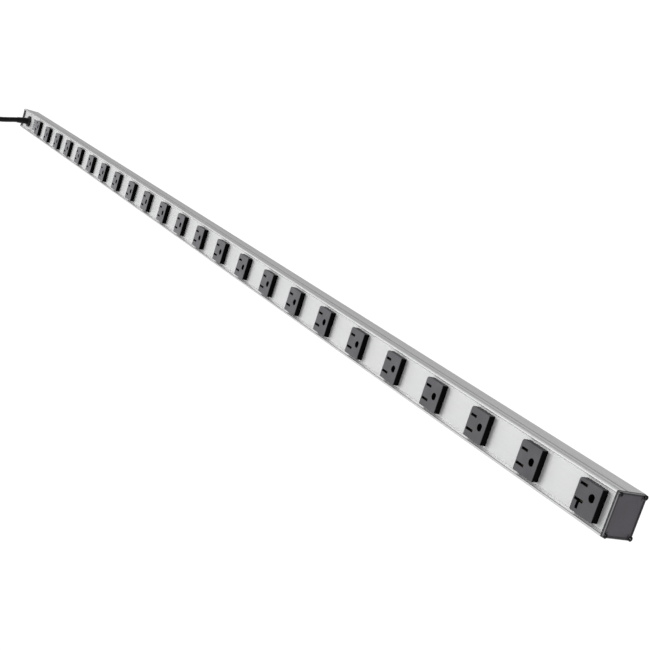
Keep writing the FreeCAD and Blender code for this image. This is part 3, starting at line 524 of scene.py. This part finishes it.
def new_piece(name, mesh, material):
    """A smooth object of a mesh in the row frame, which rides on the strip."""
    piece = bpy.data.objects.new(name, mesh)
    bpy.context.scene.collection.objects.link(piece)
    mesh.materials.append(material)
    for face in mesh.polygons:
        face.use_smooth = True
    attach(piece, "root")
    return piece


def skin(name, rings):
    """A closed mesh through rings of points, each ring with the same count."""
    maker = bmesh.new()
    loops = [[maker.verts.new(point) for point in ring] for ring in rings]
    count = len(loops[0])
    for before, after in zip(loops, loops[1:]):
        for number in range(count):
            following = (number + 1) % count
            maker.faces.new((before[number], before[following], after[following], after[number]))
    maker.faces.new(list(reversed(loops[0])))
    maker.faces.new(loops[-1])
    bmesh.ops.recalc_face_normals(maker, faces=maker.faces)
    mesh = bpy.data.meshes.new(name)
    maker.to_mesh(mesh)
    maker.free()
    return mesh


def keep_sharp(piece, degrees):
    """Smooth shading, apart from edges that turn by more than an angle."""
    piece.data.set_sharp_from_angle(angle=math.radians(degrees))


def superellipse(half_wide, half_high, power, count=48):
    """Points of a rounded rectangle about the origin; power 2 is an ellipse."""
    points = []
    for number in range(count):
        angle = 2 * math.pi * number / count
        cosine, sine = math.cos(angle), math.sin(angle)
        wide = math.copysign(abs(cosine) ** (2 / power), cosine) * half_wide
        high = math.copysign(abs(sine) ** (2 / power), sine) * half_high
        points.append((wide, high))
    return points


# --------------------------------------------------------------------------- cord

CORD_DIAMETER = 9.6 * MM
CORD_EXIT = Vector((-0.866, -0.01435, 0.0184))
BOOT_TIP = Vector((-0.866, -0.0339, 0.0160))
CORD_ROUTE = [
    BOOT_TIP,
    Vector((-0.8662, -0.0500, 0.0116)),
    Vector((-0.8668, -0.0665, 0.0074)),
    Vector((-0.8739, -0.0884, 0.0049)),
    Vector((-0.8896, -0.1065, 0.0049)),
    Vector((-0.9121, -0.1175, 0.0049)),
    Vector((-0.9388, -0.1213, 0.0049)),
    Vector((-0.9848, -0.1219, 0.0049)),
    Vector((-1.0440, -0.1215, 0.0049)),
    Vector((-1.1020, -0.1206, 0.0051)),
    Vector((-1.1510, -0.1199, 0.0058)),
]
HANK_MIDDLE = Vector((-1.2055, -0.0715, 0))
HANK_STRAIGHT = 71 * MM
HANK_RADII = (29.2 * MM, 38.8 * MM, 48.4 * MM)
LOWEST_LAYER = 5.8 * MM
LAYER_RISE = 9.65 * MM
LAYERS = 4
POINTS_PER_TURN = 32
CHANGE_WIDTH = 0.26
CHANGE_STEP = 0.065
LAST_CHANGE = 0.22
PLUG_AXIS = Vector((-1.165, -0.1099, 0.0536))

BOOT_RIBS = 6
BOOT_ROOT_RADIUS = 6.45 * MM
BOOT_TAPER = 0.85 * MM
BOOT_GROOVE = 0.45 * MM

TAPE_THICKNESS = 0.9 * MM
TAPE_INSET = 0.5 * MM
TAPE_CORNER = 5.0 * MM
TAPE_HEAD = 2 * MM
TAPE_TAIL = 9 * MM
SECOND_LAP_LIFT = 0.95 * MM
CORNER_STEPS = 6

BLADE_SPACING = 12.7 * MM
BLADE_WIDTH = 6.35 * MM
BLADE_THICKNESS = 1.5 * MM
BLADE_DROP = 5.0 * MM
BLADE_ROOT = 3 * MM
BLADE_HOLE_RADIUS = 1.6 * MM
BLADE_HOLE_FROM_TIP = 4.0 * MM


def eased(share):
    """A smooth step from 0 to 1 whose ends have no curvature."""
    share = min(1.0, max(0.0, share))
    return share**3 * (share * (6 * share - 15) + 10)


def on_racetrack(turn, radius):
    """A place on a turn of the hank, as x, y about its middle.

    Turn 0 is the middle of its tied side, and the turns run clockwise as seen from above.
    """
    half = HANK_STRAIGHT / 2
    bend = math.pi * HANK_RADII[1]
    way = turn % 1 * 2 * (HANK_STRAIGHT + bend)
    for side in (1, -1):
        if way < half:
            return side * way, side * radius
        way -= half
        if way < bend:
            angle = math.pi * way / bend
            return side * (half + radius * math.sin(angle)), side * radius * math.cos(angle)
        way -= bend
        if way < half:
            return side * (half - way), -side * radius
        way -= half
    return 0.0, radius


def hank_changes():
    """Where the winding moves to the next ring or layer: turn, width, ring step, rise."""
    rings = len(HANK_RADII)
    changes = []
    turn = 1
    for layer in range(LAYERS):
        step = -1 if layer % 2 == 0 else 1
        for _ in range(rings - 1):
            place = turn + LAST_CHANGE - 2 * layer * CHANGE_STEP
            changes.append((place, CHANGE_WIDTH, step, 0.0))
            turn += 1
        if layer < LAYERS - 1:
            place = turn + LAST_CHANGE - (2 * layer + 1) * CHANGE_STEP
            changes.append((place, CHANGE_WIDTH, 0, LAYER_RISE))
            turn += 1
    return changes


def hank_points():
    """The put-away length: three rings in four layers, then up and over to the plug's tail."""
    half = HANK_STRAIGHT / 2
    bend = math.pi * HANK_RADII[1]
    whole = 2 * (HANK_STRAIGHT + bend)
    start = (half + bend) / whole
    climb_start = half / whole
    winds = len(HANK_RADII) * LAYERS - 1
    top = LOWEST_LAYER + (LAYERS - 1) * LAYER_RISE
    changes = hank_changes()
    changes.append((winds + climb_start + bend / whole / 2, bend / whole, -1, PLUG_AXIS.z - top))
    end = winds + start
    steps = round((end - start) * POINTS_PER_TURN)
    points = []
    for number in range(steps + 1):
        turn = start + (end - start) * number / steps
        ring = len(HANK_RADII) - 1
        height = LOWEST_LAYER
        for place, width, ring_step, rise in changes:
            done = eased((turn - place) / width + 0.5)
            ring += ring_step * done
            height += rise * done
        pitch = HANK_RADII[1] - HANK_RADII[0]
        x, y = on_racetrack(turn, HANK_RADII[0] + pitch * ring)
        points.append(HANK_MIDDLE + Vector((x, y, height)))
    into_plug = PLUG_AXIS - Vector((16 * MM, 0, 0))
    return points + [into_plug]


def make_cord():
    data = bpy.data.curves.new("cord", "CURVE")
    data.dimensions = "3D"
    data.resolution_u = 6
    data.bevel_depth = 1  # times each point's radius
    data.bevel_resolution = 8
    data.use_fill_caps = True
    route = [CORD_EXIT] + CORD_ROUTE + hank_points()
    spline = data.splines.new("NURBS")
    spline.points.add(len(route) - 1)
    for point, place in zip(spline.points, route):
        point.co = (*place, 1)
        point.radius = CORD_DIAMETER / 2
    spline.order_u = 3
    spline.use_endpoint_u = True
    data.materials.append(JACKET)
    cord = bpy.data.objects.new("cord", data)
    bpy.context.scene.collection.objects.link(cord)
    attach(cord, "root")
    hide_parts("power_cord", "cord_hank")
    return cord


def centreline(cord):
    """Points along a cord's own line, read from its curve with no bevel."""
    depth = cord.data.bevel_depth
    cord.data.bevel_depth = 0
    bpy.context.view_layer.update()
    mesh = bpy.data.meshes.new_from_object(cord)
    cord.data.bevel_depth = depth
    bpy.context.view_layer.update()
    return [vertex.co.copy() for vertex in mesh.vertices]


def make_boot(line):
    """A ribbed sleeve over the cord's first stretch, tapering away from the bushing."""
    length = (BOOT_TIP - CORD_EXIT).length
    stations = []
    travelled = 0.0
    for before, after in zip(line, line[1:]):
        stations.append((travelled, before, (after - before).normalized()))
        travelled += (after - before).length
        if travelled > 1.3 * length:
            break
    steps = BOOT_RIBS * 8
    rings = []
    for number in range(steps + 1):
        share = number / steps
        way = share * length
        index = max(i for i, station in enumerate(stations) if station[0] <= way)
        origin, ahead = stations[index][1], stations[index][2]
        centre = origin + ahead * (way - stations[index][0])
        groove = 0.5 - 0.5 * math.cos(2 * math.pi * share * BOOT_RIBS)
        radius = BOOT_ROOT_RADIUS - BOOT_TAPER * share - BOOT_GROOVE * groove**2
        across = ahead.cross(Vector((0, 0, 1))).normalized()
        upward = across.cross(ahead)
        count = 40
        ring = []
        for spoke in range(count):
            angle = 2 * math.pi * spoke / count
            ring.append(centre + (across * math.cos(angle) + upward * math.sin(angle)) * radius)
        rings.append(ring)
    boot = new_piece("cord_boot_ribbed", skin("boot", rings), JACKET)
    keep_sharp(boot, 50)
    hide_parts("cord_boot")
    return boot


def tie_path():
    """The tape's line round the bundle in the YZ plane: once round, and one corner more on top."""
    centre, span = middle_and_size("cord_tie")
    flat_deep = span.y / 2 - TAPE_INSET - TAPE_CORNER
    flat_high = span.z / 2 - TAPE_INSET - TAPE_CORNER
    points = []
    corners = [(1, 1), (1, -1), (-1, -1), (-1, 1)]
    for lift, (side_y, side_z) in zip((0, 0, 0, 0, SECOND_LAP_LIFT), corners + corners[:1]):
        for step in range(CORNER_STEPS + 1):
            angle = math.pi / 2 * step / CORNER_STEPS
            across, up = math.cos(angle), math.sin(angle)
            if side_y * side_z > 0:
                across, up = up, across
            y = centre.y + side_y * (flat_deep + (TAPE_CORNER + lift) * across)
            z = centre.z + side_z * (flat_high + (TAPE_CORNER + lift) * up)
            points.append((y, z))
    return points


def make_tie():
    """A flat tape wound round the hank, with its end lying on its own first lap."""
    bundle, span = middle_and_size("cord_tie")
    path = tie_path()
    path.insert(0, (bundle.y - TAPE_HEAD, path[0][1]))
    path.append((path[-1][0], path[-1][1] - TAPE_TAIL))
    rings = []
    for number, (y, z) in enumerate(path):
        before = path[max(0, number - 1)]
        after = path[min(len(path) - 1, number + 1)]
        along = Vector((0, after[0] - before[0], after[1] - before[1])).normalized()
        outward = Vector((0, -along.z, along.y)).normalized()
        centre = Vector((bundle.x, y, z))
        if outward.dot(centre - bundle) < 0:
            outward = -outward
        ring = []
        for across, lift in superellipse(span.x / 2, TAPE_THICKNESS / 2, 6, 24):
            ring.append(centre + Vector((across, 0, 0)) + outward * lift)
        rings.append(ring)
    tie = new_piece("cord_tie_tape", skin("tie", rings), TAPE)
    keep_sharp(tie, 50)
    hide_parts("cord_tie")
    return tie


# The plug's sections, in mm from its front: the place, the shares of the full width and height,
# and the power of the rounded outline.
PLUG_FRONT = (
    (0.0, 0.955, 0.95, 5.0),
    (0.5, 0.985, 0.985, 5.0),
    (1.4, 1.0, 1.0, 5.0),
    (5.5, 1.0, 1.0, 5.0),
    (7.0, 0.985, 0.98, 5.0),
    (8.2, 0.93, 0.92, 4.6),
    (10.0, 0.91, 0.89, 4.4),
)
PLUG_SHOULDER = (
    (28.5, 0.89, 0.87, 4.0),
    (31.0, 0.86, 0.84, 3.4),
    (33.5, 0.80, 0.80, 2.8),
    (35.5, 0.72, 0.75, 2.3),
    (37.0, 0.66, 0.73, 2.0),
    (38.0, 0.625, 0.714, 2.0),
)
GRIP_RIBS = 5
GRIP_START = 11.5
GRIP_PITCH = 3.1
# The tail's radii, in mm, and its flexing rings.
TAIL_RADIUS = 10.0
TAIL_TAPER = 3.8
TAIL_GROOVE = 0.8
TAIL_RINGS = 6
TAIL_STEPS = 60


def make_plug_body():
    """A moulded plug: front face, finger grip, shoulder, and a tail with flexing rings."""
    low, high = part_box("plug_body")
    axis_y = (low.y + high.y) / 2
    axis_z = (low.z + high.z) / 2
    half_wide = (high.y - low.y) / 2
    half_high = (high.z - low.z) / 2
    sections = list(PLUG_FRONT)
    for rib in range(GRIP_RIBS):
        start = GRIP_START + rib * GRIP_PITCH
        sections.append((start, 0.905, 0.885, 4.4))
        sections.append((start + 0.5, 0.94, 0.925, 4.4))
        sections.append((start + 1.5, 0.94, 0.925, 4.4))
        sections.append((start + 2.0, 0.905, 0.885, 4.4))
    sections += PLUG_SHOULDER
    rings = []
    for x, wide, tall, power in sections:
        outline = superellipse(half_wide * wide, half_high * tall, power, 64)
        rings.append([Vector((low.x + x * MM, axis_y + y, axis_z + z)) for y, z in outline])
    tail_start = PLUG_SHOULDER[-1][0]
    tail_end = (high.x - low.x) / MM
    for number in range(1, TAIL_STEPS + 1):
        share = number / TAIL_STEPS
        x = tail_start + (tail_end - tail_start) * share
        radius = TAIL_RADIUS - TAIL_TAPER * eased(share * 1.15)
        groove = 0.5 - 0.5 * math.cos(2 * math.pi * share * TAIL_RINGS)
        if 0.05 < share < 0.96:
            radius -= TAIL_GROOVE * groove**3
        outline = superellipse(radius * MM, radius * MM, 2, 64)
        rings.append([Vector((low.x + x * MM, axis_y + y, axis_z + z)) for y, z in outline])
    plug = new_piece("plug_moulding", skin("plug", rings), PLUG)
    keep_sharp(plug, 40)
    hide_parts("plug_body")
    return plug


def blade_outline(length, width):
    """A blade's outline from its root to its chamfered tip, along +X."""
    half = width / 2
    nose = 1.6 * MM
    return [
        (0, -half),
        (length - nose, -half),
        (length, -half + 1.1 * MM),
        (length, half - 1.1 * MM),
        (length - nose, half),
        (0, half),
    ]


def flat_piece(name, outline, hole, matrix):
    """A flat plated stamping with a round hole and softened edges."""
    data = bpy.data.curves.new(name, "CURVE")
    data.dimensions = "2D"
    data.fill_mode = "BOTH"
    edge = 0.15 * MM
    data.extrude = BLADE_THICKNESS / 2 - edge
    data.bevel_depth = edge
    data.bevel_resolution = 2
    data.offset = -edge
    rim = data.splines.new("POLY")
    rim.points.add(len(outline) - 1)
    for point, (x, y) in zip(rim.points, outline):
        point.co = (x, y, 0, 1)
    rim.use_cyclic_u = True
    (hole_x, hole_y), radius = hole
    ring = data.splines.new("POLY")
    count = 28
    ring.points.add(count - 1)
    for number, point in enumerate(ring.points):
        angle = -2 * math.pi * number / count
        point.co = (hole_x + radius * math.cos(angle), hole_y + radius * math.sin(angle), 0, 1)
    ring.use_cyclic_u = True
    holder = bpy.data.objects.new(name, data)
    bpy.context.scene.collection.objects.link(holder)
    bpy.context.view_layer.update()
    mesh = bpy.data.meshes.new_from_object(holder)
    bpy.data.objects.remove(holder)
    mesh.transform(matrix)
    piece = new_piece(name, mesh, NICKEL)
    keep_sharp(piece, 30)
    return piece


def make_blades():
    """The line blade stands on edge and the neutral blade lies flat."""
    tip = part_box("plug_blades")[0].x
    body_low, body_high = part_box("plug_body")
    front = body_low.x
    axis_y = (body_low.y + body_high.y) / 2
    axis_z = (body_low.z + body_high.z) / 2
    length = front - tip + BLADE_ROOT
    hole = ((length - BLADE_HOLE_FROM_TIP, 0), BLADE_HOLE_RADIUS)
    outline = blade_outline(length, BLADE_WIDTH)
    blades = []
    for label, side, on_edge in (("line_blade", 1, True), ("neutral_blade", -1, False)):
        turn = Matrix.Rotation(math.pi, 4, "Z")
        if on_edge:
            turn = turn @ Matrix.Rotation(math.pi / 2, 4, "X")
        y = axis_y + side * BLADE_SPACING / 2
        matrix = Matrix.Translation((front + BLADE_ROOT, y, axis_z - BLADE_DROP)) @ turn
        blades.append(flat_piece(label, outline, hole, matrix))
    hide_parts("plug_blades")
    return blades


def make_ground_pin():
    """A round pin with a domed tip and a shallow step at its root."""
    low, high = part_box("plug_ground_pin")
    axis = (low + high) / 2
    radius = (high.y - low.y) / 2
    length = high.x - low.x
    profile = [(3 * MM, 0.99 * radius), (-0.1 * MM, 0.99 * radius), (-0.4 * MM, radius)]
    profile.append((-(length - radius), radius))
    for step in range(1, 9):
        angle = math.pi / 2 * step / 9
        profile.append((-(length - radius) - radius * math.sin(angle), radius * math.cos(angle)))
    rings = []
    for x, size in profile:
        ring = []
        for y, z in superellipse(size, size, 2, 40):
            ring.append(Vector((high.x + x, axis.y + y, axis.z + z)))
        rings.append(ring)
    pin = new_piece("ground_pin", skin("pin", rings), NICKEL)
    keep_sharp(pin, 40)
    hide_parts("plug_ground_pin")
    return pin


cord = make_cord()
boot = make_boot(centreline(cord))
tie = make_tie()
plug = make_plug_body()
blades = make_blades()
ground_pin = make_ground_pin()


# --------------------------------------------------------------------------- studio


WHITE = (1, 1, 1, 1)
FLOOR_REACH = 14
FLOOR_STRENGTH = 1.05
BACKDROP_STRENGTH = 1.1
STUDIO_COLOUR = (0.8, 0.8, 0.8, 1)
STUDIO_STRENGTH = 0.95
# Each axis with the light's share from its minus side and from its plus side.
STUDIO_RAMPS = (("X", 0.9, 0.7), ("Y", 1.0, 0.5), ("Z", 0.7, 1.3))


def make_floor():
    """A wide white floor. It gives its own light, so that it joins the backdrop."""
    maker = bmesh.new()
    bmesh.ops.create_grid(maker, x_segments=2, y_segments=2, size=FLOOR_REACH)
    mesh = bpy.data.meshes.new("floor")
    maker.to_mesh(mesh)
    maker.free()
    floor = bpy.data.objects.new("floor", mesh)
    bpy.context.scene.collection.objects.link(floor)
    material, shader = new_material("floor_paper", (0, 0, 0), 1.0, specular=0.0)
    shader.inputs["Emission Color"].default_value = WHITE
    shader.inputs["Emission Strength"].default_value = FLOOR_STRENGTH
    mesh.materials.append(material)


def make_world():
    """White to the eye, and a soft studio to the object: brighter on the receptacles' side."""
    world = bpy.data.worlds.new("studio")
    bpy.context.scene.world = world
    world.use_nodes = True
    world.node_tree.nodes.clear()
    coordinates = add_node(world, "ShaderNodeTexCoord")
    split = add_node(world, "ShaderNodeSeparateXYZ", Vector=coordinates.outputs["Generated"])
    strength = STUDIO_STRENGTH
    for axis, low, high in STUDIO_RAMPS:
        ramp = ranged(world, split.outputs[axis], low, high, -1, 1)
        strength = calculate(world, "MULTIPLY", ramp, strength)
    lit = add_node(world, "ShaderNodeBackground", Color=STUDIO_COLOUR, Strength=strength)
    seen = add_node(world, "ShaderNodeBackground", Color=WHITE, Strength=BACKDROP_STRENGTH)
    path = add_node(world, "ShaderNodeLightPath")
    chosen = add_node(
        world,
        "ShaderNodeMixShader",
        _0=path.outputs["Is Camera Ray"],
        _1=lit.outputs[0],
        _2=seen.outputs[0],
    )
    add_node(world, "ShaderNodeOutputWorld", Surface=chosen.outputs[0])


def add_light(name, kind, energy, place, aim):
    data = bpy.data.lights.new(name, kind)
    data.energy = energy
    lamp = bpy.data.objects.new(name, data)
    bpy.context.scene.collection.objects.link(lamp)
    lamp.location = place
    lamp.rotation_mode = "QUATERNION"
    lamp.rotation_quaternion = (Vector(aim) - Vector(place)).to_track_quat("-Z", "Y")
    return data


def make_lights():
    """A broad low key from the cord's side, a soft top light and a small lamp for glints."""
    key = add_light("key", "SUN", 1.6, (-0.60, -0.78, 0.16), (0, 0, 0))
    key.angle = math.radians(30)
    top = add_light("top", "AREA", 1.4, (0.75, 0.35, 0.75), (0.75, 0.0, 0.03))
    top.size = 0.5
    glint = add_light("glint", "AREA", 0.9, (1.60, -0.10, 0.20), (0.90, 0.0, 0.02))
    glint.size = 0.03


make_floor()
make_world()
make_lights()
bpy.context.scene.view_settings.view_transform = "Standard"
